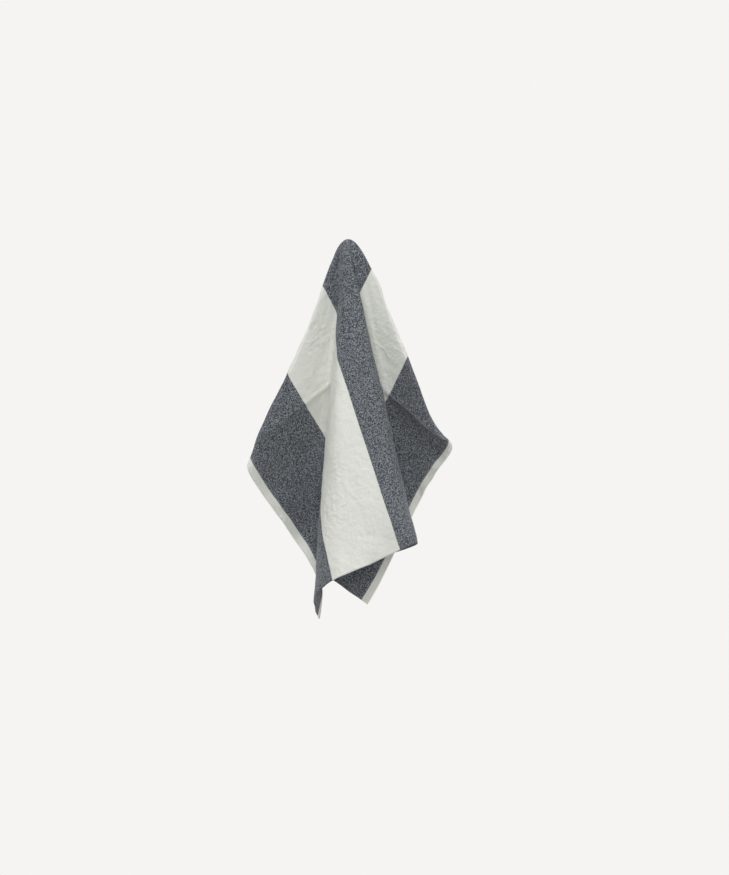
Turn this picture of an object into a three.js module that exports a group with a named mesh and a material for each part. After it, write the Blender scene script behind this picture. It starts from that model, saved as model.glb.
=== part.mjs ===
// A square cloth napkin, hung from one point so that it falls into folds.
// Millimetres. Z is up, the front faces -Y, and the origin is the hanging point.
import * as THREE from "three";

// The cloth, laid flat
const SIDE = 450;
const FRONT_REACH = 337.5; // from the hanging point to the front hem
const OFF_CENTRE = 7.1; // the hanging point lies this far to the right of the middle
const THICKNESS = 1.2;

// How it falls from the hanging point
const CROWN_LENGTH = 19.2; // length of cloth over which the flat top turns down
const CROWN_POWER = 0.89; // below 1, it turns down sooner and takes longer to finish
const UPPER_LEVEL = 60; // the fold table's first station, along the cloth
const LOWER_LEVEL = 330; // the fold table's second station
const CREASE = 2; // half width of each rounded crease, degrees of cloth

// The mesh
const RINGS = 18;
const RING_SPREAD = 1.35; // above 1, the rings crowd towards the hanging point
const PANEL_STEP = 3.4; // widest angle between two rays on a flat panel
const CREASE_STEP = 1.5; // widest angle between two rays in a crease
const CORNER_CLEAR = 0.4; // no ray is closer than this to the next one or to a corner

const DEGREE = Math.PI / 180;
const FULL_TURN = 360;

// One row for each fold or bend, in order round the hanging point.
// turn: its direction in the flat cloth, 0 towards the front hem, right is positive.
// half: half width of the round back of a fold, degrees of cloth. A bend has none.
// gap, upper, lower: pairs of angles in degrees, to the right and to the front.
// gap: how far the fold's second layer hangs from its first.
// upper, lower: where it hangs at the two stations, from straight down.
const FOLDS = [
  { name: "back_middle", turn: -180, half: 0, gap: [0, 0], upper: [0, -27], lower: [0, -26.5] },
  { name: "back_left", turn: -156, half: 2, gap: [0, 3], upper: [-15, -23.5], lower: [-12.8, -25.4] },
  { name: "inner_left", turn: -138.5, half: 1.5, gap: [0, 2.2], upper: [-3, -18.4], lower: [-2.2, -22.4] },
  { name: "corner_left", turn: -117, half: 2, gap: [0, 2.8], upper: [-22, -12.2], lower: [-20, -14.6] },
  { name: "deep_left", turn: -92.5, half: 1.5, gap: [0, 1.9], upper: [-3.6, -11.8], lower: [-3.6, -18.6] },
  { name: "left", turn: -64, half: 4, gap: [-0.8, 7], upper: [-23.2, 3.1], lower: [-24.6, 0.6] },
  { name: "left_valley", turn: -39.2, half: 1.7, gap: [2.4, 0.2], upper: [-7.2, -2.6], lower: [-5.7, -5.8] },
  { name: "front_left", turn: -28, half: 2, gap: [1.2, 3.6], upper: [-6.1, 6.2], lower: [-5.6, 1.9] },
  { name: "front_bend_1", turn: -21.8, half: 0, gap: [0, 0], upper: [-4.2, 11.8], lower: [-2.4, 6.2] },
  { name: "front_bend_2", turn: -12, half: 0, gap: [0, 0], upper: [4.9, 12.4], lower: [6.2, 9.6] },
  { name: "front_bend_3", turn: -8, half: 0, gap: [0, 0], upper: [8.6, 12.6], lower: [9.7, 11.7] },
  { name: "front_right", turn: -2.5, half: 1.5, gap: [0.5, -3.4], upper: [12.5, 8.7], lower: [12.6, 7.3] },
  { name: "right_valley", turn: 21.5, half: 1.5, gap: [-0.3, -2], upper: [-3.3, -6.7], lower: [-5.6, -10.3] },
  { name: "right_bend_1", turn: 27, half: 0, gap: [0, 0], upper: [0.4, -8.6], lower: [-2.7, -12.5] },
  { name: "right_bend_2", turn: 34, half: 0, gap: [0, 0], upper: [5.6, -5.3], lower: [4.2, -8.9] },
  { name: "right_bend_3", turn: 47.5, half: 0, gap: [0, 0], upper: [16.9, -1.4], lower: [15.6, -6.1] },
  { name: "right", turn: 63.7, half: 4, gap: [-0.8, -8.6], upper: [26.8, 3.3], lower: [23, 0.3] },
  { name: "deep_right", turn: 92.5, half: 1.5, gap: [0, -2.1], upper: [4, -12.8], lower: [4, -21.2] },
  { name: "corner_right", turn: 116, half: 2, gap: [-0.2, -2.6], upper: [22, -12], lower: [22.4, -16.2] },
  { name: "inner_right", turn: 139.5, half: 1.5, gap: [0, -2.1], upper: [3, -18.8], lower: [2.4, -23.8] },
  { name: "back_right", turn: 156, half: 2, gap: [0.1, -3], upper: [15, -23.5], lower: [13.1, -26] },
];

// One row for each place where the cloth departs from its straight folds.
// turn, length: its middle in the flat cloth. width: its half widths, in turn and in length.
// shift: how far the cloth is moved there, degrees to the right and to the front.
const UNEVEN = [
  { name: "right_tip", turn: 63, length: 246, width: [9, 15], shift: [2.6, 0] },
  { name: "right_fold_top", turn: 66, length: 85, width: [14, 35], shift: [1.3, 0] },
  { name: "right_shoulder", turn: 66, length: 58, width: [14, 18], shift: [3.1, 0] },
  { name: "left_fold_waist", turn: -63, length: 205, width: [12, 40], shift: [-0.5, 0] },
  { name: "left_tip", turn: -60, length: 262, width: [12, 26], shift: [1, 0] },
  { name: "left_crown", turn: -66, length: 14, width: [16, 14], shift: [5.2, 0] },
  { name: "front_left_corner", turn: -33, length: 400, width: [8, 50], shift: [0.7, 0] },
  { name: "front_right_hem", turn: -1, length: 330, width: [8, 40], shift: [0, 6] },
  { name: "right_crown", turn: 64, length: 32, width: [16, 18], shift: [2.1, 0] },
  { name: "left_valley_top", turn: -39, length: 26, width: [7, 16], shift: [0, -4.4] },
  { name: "right_valley_top", turn: 21.5, length: 28, width: [6, 14], shift: [0, -3.2] },
  { name: "left_selvedge_low", turn: -46, length: 315, width: [9, 45], shift: [0.6, 0] },
  { name: "right_selvedge_low", turn: 48, length: 290, width: [8, 30], shift: [-0.3, 0] },
];

// The crease pressed across the cloth near its middle bends the side panels back below it.
// turn, turnWidth: which panel, degrees of cloth. lean: how far it bends back, degrees.
// ledge: length of cloth over which the bend fades out again.
const MIDDLE_CREASE = [
  { name: "left_panel", turn: -50, turnWidth: 11, lean: 20, ledge: 36 },
  { name: "right_panel", turn: 52, turnWidth: 13, lean: 32, ledge: 32 },
];
const CREASE_AHEAD = 119.5; // how far in front of the hanging point it runs
const MIDDLE_CREASE_ROUNDING = 2.2; // length of cloth over which it bends

/** Fold table as a closed list of knots: two for a fold, one for a bend. */
function foldKnots() {
  const knots = [];
  for (const fold of FOLDS) {
    const sides = fold.half > 0 ? [-1, 1] : [0];
    for (const side of sides) {
      const shift = fold.gap.map((gap) => side * gap / 2);
      knots.push({
        turn: fold.turn + side * fold.half,
        upper: fold.upper.map((angle, axis) => angle + shift[axis]),
        lower: fold.lower.map((angle, axis) => angle + shift[axis]),
      });
    }
  }
  const before = knots.map((knot) => ({ ...knot, turn: knot.turn - FULL_TURN }));
  const after = knots.map((knot) => ({ ...knot, turn: knot.turn + FULL_TURN }));
  return [...before, ...knots, ...after];
}

/** Running integral of one column of the knots, as a function of the turn. */
function columnIntegral(knots, column) {
  const sums = [0];
  for (let i = 1; i < knots.length; i += 1) {
    const width = knots[i].turn - knots[i - 1].turn;
    sums.push(sums[i - 1] + width * (column(knots[i]) + column(knots[i - 1])) / 2);
  }
  return (turn) => {
    let i = 0;
    while (i < knots.length - 2 && knots[i + 1].turn <= turn) {
      i += 1;
    }
    const along = turn - knots[i].turn;
    const start = column(knots[i]);
    const slope = (column(knots[i + 1]) - start) / (knots[i + 1].turn - knots[i].turn);
    return sums[i] + start * along + slope * along * along / 2;
  };
}

/** Column of the knots with its creases rounded over CREASE degrees each way. */
function roundedColumn(knots, column) {
  const integral = columnIntegral(knots, column);
  return (turn) => (integral(turn + CREASE) - integral(turn - CREASE)) / (2 * CREASE);
}

const KNOTS = foldKnots();
const UPPER = [0, 1].map((axis) => roundedColumn(KNOTS, (knot) => knot.upper[axis]));
const LOWER = [0, 1].map((axis) => roundedColumn(KNOTS, (knot) => knot.lower[axis]));

function smoothStep(value) {
  const t = Math.min(Math.max(value, 0), 1);
  return t * t * (3 - 2 * t);
}

/** Length of cloth from the hanging point to the hem in one direction. */
function reach(turn) {
  const forward = Math.cos(turn * DEGREE);
  const sideways = Math.sin(turn * DEGREE);
  const toHem = forward > 0 ? FRONT_REACH : SIDE - FRONT_REACH;
  const toSelvedge = SIDE / 2 + (sideways > 0 ? -OFF_CENTRE : OFF_CENTRE);
  const hem = toHem / Math.max(Math.abs(forward), 1e-9);
  const selvedge = toSelvedge / Math.max(Math.abs(sideways), 1e-9);
  return Math.min(hem, selvedge);
}

/** Move of the cloth at one place by the rows of UNEVEN, to the side and to the front. */
function unevenness(turn, length) {
  const moved = [0, 0];
  for (const spot of UNEVEN) {
    const away = (turn - spot.turn + 3 * FULL_TURN / 2) % FULL_TURN - FULL_TURN / 2;
    const across = (away / spot.width[0]) ** 2;
    const along = ((length - spot.length) / spot.width[1]) ** 2;
    const share = Math.exp(-across - along);
    moved[0] += spot.shift[0] * share;
    moved[1] += spot.shift[1] * share;
  }
  return moved;
}

/** How far the pressed middle crease has bent the cloth back at one place, degrees. */
function bentBack(turn, length) {
  const toCrease = CREASE_AHEAD / Math.max(Math.cos(turn * DEGREE), 0.2);
  const past = (length - toCrease) / MIDDLE_CREASE_ROUNDING;
  const soft = (past > 30 ? past : Math.log1p(Math.exp(past))) * MIDDLE_CREASE_ROUNDING;
  return MIDDLE_CREASE.reduce((sum, panel) => {
    const away = (turn - panel.turn) / panel.turnWidth;
    const ledge = panel.ledge * (1 - Math.exp(-soft / panel.ledge));
    return sum + panel.lean * Math.exp(-(away ** 4)) * ledge / length;
  }, 0);
}

/** Point of the hanging cloth's middle surface, from its place in the flat cloth. */
function hangingPoint(turn, length) {
  const moved = unevenness(turn, length);
  moved[1] -= bentBack(turn, length);
  const fall = smoothStep((length - UPPER_LEVEL) / (LOWER_LEVEL - UPPER_LEVEL));
  const crown = Math.exp(-((length / CROWN_LENGTH) ** CROWN_POWER));
  const flat = [90 * Math.sin(turn * DEGREE), 90 * Math.cos(turn * DEGREE)];
  const [side, front] = [0, 1].map((axis) => {
    const upper = UPPER[axis](turn);
    const folded = upper + (LOWER[axis](turn) - upper) * fall;
    return folded * (1 - crown) + flat[axis] * crown + moved[axis];
  });
  const lean = Math.hypot(side, front) * DEGREE;
  const bearing = Math.atan2(side, front);
  return new THREE.Vector3(
    length * Math.sin(lean) * Math.sin(bearing),
    -length * Math.sin(lean) * Math.cos(bearing),
    -length * Math.cos(lean),
  );
}

/** Turns of the rays: the corners, both edges of each crease, and steps between. */
function rayTurns() {
  const corners = [
    Math.atan2(-SIDE / 2 - OFF_CENTRE, FRONT_REACH - SIDE),
    Math.atan2(-SIDE / 2 - OFF_CENTRE, FRONT_REACH),
    Math.atan2(SIDE / 2 - OFF_CENTRE, FRONT_REACH),
    Math.atan2(SIDE / 2 - OFF_CENTRE, FRONT_REACH - SIDE),
  ].map((angle) => angle / DEGREE);
  const marks = [...corners];
  for (const fold of FOLDS) {
    const width = fold.half + CREASE;
    marks.push(fold.turn - width, fold.turn + width);
  }
  const wrapped = marks.map((turn) => (turn < -FULL_TURN / 2 ? turn + FULL_TURN : turn));
  const sorted = wrapped.sort((a, b) => a - b);
  const inCrease = (turn) => FOLDS.some((fold) => {
    const away = Math.abs((turn - fold.turn + 3 * FULL_TURN / 2) % FULL_TURN - FULL_TURN / 2);
    return fold.half > 0 && away < fold.half + CREASE;
  });
  const turns = [];
  sorted.forEach((start, i) => {
    const end = i + 1 < sorted.length ? sorted[i + 1] : sorted[0] + FULL_TURN;
    const step = inCrease((start + end) / 2) ? CREASE_STEP : PANEL_STEP;
    const count = Math.max(1, Math.ceil((end - start) / step - 0.01));
    for (let k = 0; k < count; k += 1) {
      turns.push(start + (end - start) * k / count);
    }
  });
  const nearCorner = (turn) => corners.some((corner) => Math.abs(turn - corner) < CORNER_CLEAR);
  const spaced = turns.filter((turn, i) => i === 0 || turn - turns[i - 1] > CORNER_CLEAR);
  return [...spaced.filter((turn) => !nearCorner(turn)), ...corners].sort((a, b) => a - b);
}

/** Grid of the middle surface: one row of points for each ray, the hanging point left out. */
function middleSurface(turns) {
  return turns.map((turn) => {
    const length = reach(turn);
    return Array.from({ length: RINGS }, (_, ring) => {
      const share = ((ring + 1) / RINGS) ** RING_SPREAD;
      return hangingPoint(turn, length * share);
    });
  });
}

/** Unit normals of the grid, pointing out and up, by its neighbours in both ways. */
function surfaceNormals(grid) {
  const rays = grid.length;
  const top = new THREE.Vector3(0, 0, 0);
  return grid.map((ray, i) => ray.map((_, j) => {
    const next = grid[(i + 1) % rays][j];
    const last = grid[(i + rays - 1) % rays][j];
    const around = new THREE.Vector3().subVectors(next, last);
    const upper = j === 0 ? top : ray[j - 1];
    const lower = ray[Math.min(j + 1, RINGS - 1)];
    const down = new THREE.Vector3().subVectors(lower, upper);
    return new THREE.Vector3().crossVectors(down, around).normalize();
  }));
}

/** Closed sheet: the middle surface moved out and in by half the thickness, and its rim. */
function clothGeometry() {
  const grid = middleSurface(rayTurns());
  const normals = surfaceNormals(grid);
  const rays = grid.length;
  const drop = new THREE.Vector3(0, 0, -THICKNESS / 2);
  const positions = [];
  const layer = (offset) => {
    const first = positions.length / 3;
    positions.push(0, 0, offset - THICKNESS / 2);
    grid.forEach((ray, i) => ray.forEach((point, j) => {
      const moved = point.clone().addScaledVector(normals[i][j], offset).add(drop);
      positions.push(moved.x, moved.y, moved.z);
    }));
    return first;
  };
  const outer = layer(THICKNESS / 2);
  const inner = layer(-THICKNESS / 2);
  const at = (first, ray, ring) => first + 1 + (ray % rays) * RINGS + ring;
  const triangles = [];
  const quad = (a, b, c, d) => triangles.push(a, b, c, a, c, d);
  for (let i = 0; i < rays; i += 1) {
    triangles.push(outer, at(outer, i, 0), at(outer, i + 1, 0));
    triangles.push(inner, at(inner, i + 1, 0), at(inner, i, 0));
    for (let j = 0; j + 1 < RINGS; j += 1) {
      quad(at(outer, i, j), at(outer, i, j + 1), at(outer, i + 1, j + 1), at(outer, i + 1, j));
      quad(at(inner, i + 1, j), at(inner, i + 1, j + 1), at(inner, i, j + 1), at(inner, i, j));
    }
    const last = RINGS - 1;
    quad(at(outer, i, last), at(inner, i, last), at(inner, i + 1, last), at(outer, i + 1, last));
  }
  const geometry = new THREE.BufferGeometry();
  geometry.setAttribute("position", new THREE.Float32BufferAttribute(positions, 3));
  geometry.setIndex(triangles);
  geometry.computeVertexNormals();
  return geometry;
}

const cloth = new THREE.MeshStandardMaterial({ color: 0x9a9c98, roughness: 0.95 });
cloth.name = "striped_cloth";
const napkin = new THREE.Mesh(clothGeometry(), cloth);
napkin.name = "napkin";

const group = new THREE.Group();
group.name = "hanging_napkin";
group.add(napkin);

export default group;
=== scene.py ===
"""A striped cloth napkin hanging from one point, dressed for Blender 4.5.

The cloth is one thin sheet. A short table says where each fold of it hangs, and the whole
sheet is worked out from that table and from the flat size of the cloth.
"""

import logging
import math
from dataclasses import dataclass, field
from enum import Enum

import bpy
import numpy as np
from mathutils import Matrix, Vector


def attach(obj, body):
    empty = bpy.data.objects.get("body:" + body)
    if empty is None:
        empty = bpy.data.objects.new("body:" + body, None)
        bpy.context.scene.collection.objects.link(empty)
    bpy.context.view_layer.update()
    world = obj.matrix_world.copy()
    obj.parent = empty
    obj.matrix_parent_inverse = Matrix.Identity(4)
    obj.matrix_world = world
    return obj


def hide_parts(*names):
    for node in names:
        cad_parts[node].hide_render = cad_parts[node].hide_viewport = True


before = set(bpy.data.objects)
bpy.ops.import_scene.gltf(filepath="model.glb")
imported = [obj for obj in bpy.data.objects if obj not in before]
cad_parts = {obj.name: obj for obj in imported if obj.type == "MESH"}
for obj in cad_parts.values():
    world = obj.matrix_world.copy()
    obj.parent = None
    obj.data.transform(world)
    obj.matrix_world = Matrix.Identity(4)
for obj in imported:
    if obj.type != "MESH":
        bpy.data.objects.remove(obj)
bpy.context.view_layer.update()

LOG = logging.getLogger("napkin")

MM = 0.001
FULL_TURN = 360.0
FULL_CIRCLE = 2 * math.pi
LEAST_COSINE = 0.2
LEAST_SLOPE = 1e-9
NAPKIN_NODE = "napkin"
ROOT_BODY = "root"
CLOTH_PIECE = "napkin_cloth"
FLAT_PLAN = "flat_plan"

Colour = tuple[float, float, float]
Pair = tuple[float, float]
Socket = bpy.types.NodeSocket
Outputs = bpy.types.bpy_prop_collection


def wrapped(turn: np.ndarray | float) -> np.ndarray | float:
    """Brings turns, in degrees, to within half a full turn of the front."""
    return (turn + 1.5 * FULL_TURN) % FULL_TURN - FULL_TURN / 2


def add_to_scene(name: str, data: bpy.types.ID) -> bpy.types.Object:
    """Makes an object from a mesh, light or camera and links it to the scene.

    Args:
        name: the object's name.
        data: what the object shows.

    Returns:
        The new object, at the origin.
    """
    thing = bpy.data.objects.new(name, data)
    bpy.context.scene.collection.objects.link(thing)
    return thing


class Layer(Enum):
    """The two faces of the cloth: which way each lies from its middle surface."""

    OUTER = 1.0
    INNER = -1.0


@dataclass(frozen=True)
class Fold:
    """One fold or bend of the hanging cloth.

    Args:
        name: what it is called in the part's own table.
        turn: its direction in the flat cloth, degrees, 0 to the front hem, right positive.
        half: half width of a fold's round back, degrees of cloth; a bend has none.
        gap: how far the second layer of a fold hangs from the first, degrees (side, front).
        upper: where it hangs at the upper level, degrees from straight down (side, front).
        lower: the same at the lower level.
    """

    name: str
    turn: float
    half: float
    gap: Pair
    upper: Pair
    lower: Pair


@dataclass(frozen=True)
class Uneven:
    """One soft place where the cloth departs from its straight folds.

    Args:
        name: where it is.
        turn: its middle, degrees of cloth.
        length: its middle, millimetres from the hanging point.
        turn_width: half width across, degrees.
        length_width: half width along, millimetres.
        shift: how far the cloth moves there, degrees (side, front).
    """

    name: str
    turn: float
    length: float
    turn_width: float
    length_width: float
    shift: Pair

    def share(self, turn: np.ndarray, length: np.ndarray) -> np.ndarray:
        """How much of the shift holds at each place: a bell across times a bell along.

        Args:
            turn: turns in degrees.
            length: lengths from the hanging point, millimetres.

        Returns:
            exp(-(turn off / width) ** 2 - (length off / width) ** 2), 1 in the middle.
        """
        across = wrapped(turn - self.turn) / self.turn_width
        along = (length - self.length) / self.length_width
        return np.exp(-(across**2) - along**2)


@dataclass(frozen=True)
class SoftCrease:
    """One soft trough or ridge across the cloth, drawn in its flat plan.

    Args:
        name: where it is.
        start: one end, millimetres to the right and to the front of the hanging point.
        end: the other end.
        width: half width, millimetres.
        height: how far it rises, or dips when negative, millimetres.
    """

    name: str
    start: Pair
    end: Pair
    width: float
    height: float

    def relief(self, across: np.ndarray, along: np.ndarray) -> np.ndarray:
        """Its rise at each place: height * exp(-(distance to its line / width) ** 2).

        Args:
            across: places to the right of the hanging point, millimetres.
            along: places to its front, millimetres.

        Returns:
            The rise at each place, millimetres.
        """
        run = np.subtract(self.end, self.start)
        from_start = np.stack([across - self.start[0], along - self.start[1]], axis=-1)
        share = np.clip(from_start @ run / (run @ run), 0, 1)
        away = np.linalg.norm(from_start - share[..., None] * run, axis=-1)
        return self.height * np.exp(-((away / self.width) ** 2))


@dataclass(frozen=True)
class PressedBend:
    """A panel that bends back below the crease pressed across the cloth near its middle.

    Args:
        name: which panel.
        turn: its middle, degrees of cloth.
        turn_width: half width across, degrees.
        lean: how far it bends back just below the crease, degrees.
        ledge: length over which the bend fades out again, millimetres.
    """

    name: str
    turn: float
    turn_width: float
    lean: float
    ledge: float

    def share(self, turn: np.ndarray) -> np.ndarray:
        """How much of the bend holds at each turn: exp(-(turn off / width) ** 4)."""
        return np.exp(-(((turn - self.turn) / self.turn_width) ** 4))


@dataclass(frozen=True)
class WaveBand:
    """Soft waves of about one length that cross the cloth in seeded directions.

    Args:
        length: their middle length, millimetres.
        height: their height, millimetres, shared among them by the root of their number.
        count: how many there are.
    """

    length: float
    height: float
    count: int


# The upper and lower angles of the twelve rows from left to right come from a separate search
# that fitted them to the outline and stripe borders in the photograph. So were the hanging
# point's place, the stripes' width, the crown's length and power, and the size of a pixel.
# The other numbers in this table were chosen.
FOLDS = (
    Fold("back_middle", -180, 0, (0, 0), (0, -27), (0, -26.5)),
    Fold("back_left", -156, 2, (0, 3), (-15, -23.5), (-12.8, -25.4)),
    Fold("inner_left", -138.5, 1.5, (0, 2.2), (-3, -18.4), (-2.2, -22.4)),
    Fold("corner_left", -117, 2, (0, 2.8), (-22, -12.2), (-20, -14.6)),
    Fold("deep_left", -92.5, 1.5, (0, 1.9), (-3.6, -11.8), (-3.6, -18.6)),
    Fold("left", -64, 4, (-0.8, 7), (-23.2, 3.1), (-24.6, 0.6)),
    Fold("left_valley", -39.2, 1.7, (2.4, 0.2), (-7.2, -2.6), (-5.7, -5.8)),
    Fold("front_left", -28, 2, (1.2, 3.6), (-6.1, 6.2), (-5.6, 1.9)),
    Fold("front_bend_1", -21.8, 0, (0, 0), (-4.2, 11.8), (-2.4, 6.2)),
    Fold("front_bend_2", -12, 0, (0, 0), (4.9, 12.4), (6.2, 9.6)),
    Fold("front_bend_3", -8, 0, (0, 0), (8.6, 12.6), (9.7, 11.7)),
    Fold("front_right", -2.5, 1.5, (0.5, -3.4), (12.5, 8.7), (12.6, 7.3)),
    Fold("right_valley", 21.5, 1.5, (-0.3, -2), (-3.3, -6.7), (-5.6, -10.3)),
    Fold("right_bend_1", 27, 0, (0, 0), (0.4, -8.6), (-2.7, -12.5)),
    Fold("right_bend_2", 34, 0, (0, 0), (5.6, -5.3), (4.2, -8.9)),
    Fold("right_bend_3", 47.5, 0, (0, 0), (16.9, -1.4), (15.6, -6.1)),
    Fold("right", 63.7, 4, (-0.8, -8.6), (26.8, 3.3), (23, 0.3)),
    Fold("deep_right", 92.5, 1.5, (0, -2.1), (4, -12.8), (4, -21.2)),
    Fold("corner_right", 116, 2, (-0.2, -2.6), (22, -12), (22.4, -16.2)),
    Fold("inner_right", 139.5, 1.5, (0, -2.1), (3, -18.8), (2.4, -23.8)),
    Fold("back_right", 156, 2, (0.1, -3), (15, -23.5), (13.1, -26)),
)

# The shifts of ten rows come from searches of the same kind, and so do the lengths of
# right_tip, right_shoulder and left_crown and the length width of right_tip. The shifts of
# front_right_hem and of both valley tops, and all other numbers, were chosen.
UNEVEN = (
    Uneven("right_tip", 63, 246, 9, 15, (2.6, 0)),
    Uneven("right_fold_top", 66, 85, 14, 35, (1.3, 0)),
    Uneven("right_shoulder", 66, 58, 14, 18, (3.1, 0)),
    Uneven("left_fold_waist", -63, 205, 12, 40, (-0.5, 0)),
    Uneven("left_tip", -60, 262, 12, 26, (1, 0)),
    Uneven("left_crown", -66, 14, 16, 14, (5.2, 0)),
    Uneven("front_left_corner", -33, 400, 8, 50, (0.7, 0)),
    Uneven("front_right_hem", -1, 330, 8, 40, (0, 6)),
    Uneven("right_crown", 64, 32, 16, 18, (2.1, 0)),
    Uneven("left_valley_top", -39, 26, 7, 16, (0, -4.4)),
    Uneven("right_valley_top", 21.5, 28, 6, 14, (0, -3.2)),
    Uneven("left_selvedge_low", -46, 315, 9, 45, (0.6, 0)),
    Uneven("right_selvedge_low", 48, 290, 8, 30, (-0.3, 0)),
)

CREASES = (
    SoftCrease("left_valley", (-6, 16), (-29, 71), 3.5, -1.1),
    SoftCrease("right_valley", (7, 10), (34, 39), 3.5, -0.8),
    SoftCrease("right_ridge", (116, 120), (202, 119), 2.8, 1.1),
    SoftCrease("right_ledge", (114, 128), (196, 126), 5.5, -1.7),
    SoftCrease("right_hollow", (132, 143), (196, 141), 12.0, -2.6),
    SoftCrease("right_hem_rise", (206, 148), (220, 152), 4.0, 0.9),
    SoftCrease("right_hem_dip", (204, 161), (219, 165), 4.0, -0.9),
    SoftCrease("right_hem_rise_low", (202, 177), (218, 181), 4.5, 0.9),
    SoftCrease("left_ridge", (-96, 119.5), (-140, 119.5), 2.6, 0.8),
    SoftCrease("left_ridge_end", (-140, 119.5), (-190, 119.5), 3.2, 1.3),
    SoftCrease("left_ledge", (-148, 128), (-180, 128), 5.5, -1.7),
    SoftCrease("left_pinch", (-146, 128), (-108, 126), 4.0, -1.0),
    SoftCrease("left_swell", (-212, 142), (-186, 140), 11.0, 1.8),
    SoftCrease("left_swell_below", (-190, 158), (-164, 160), 9.0, -1.0),
    SoftCrease("left_foot", (-226, 236), (-190, 222), 18.0, -3.0),
    SoftCrease("left_hem_rise", (-233, 182), (-214, 188), 4.5, 1.5),
    SoftCrease("left_hem_dip", (-231, 198), (-213, 203), 4.5, -1.5),
)

PRESSED_BENDS = (
    PressedBend("left_panel", -50, 11, 20, 36),
    PressedBend("right_panel", 52, 13, 32, 32),
)

WAVE_BANDS = (
    WaveBand(70.0, 0.55, 7),
    WaveBand(34.0, 0.22, 10),
    WaveBand(17.0, 0.07, 12),
)


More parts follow.
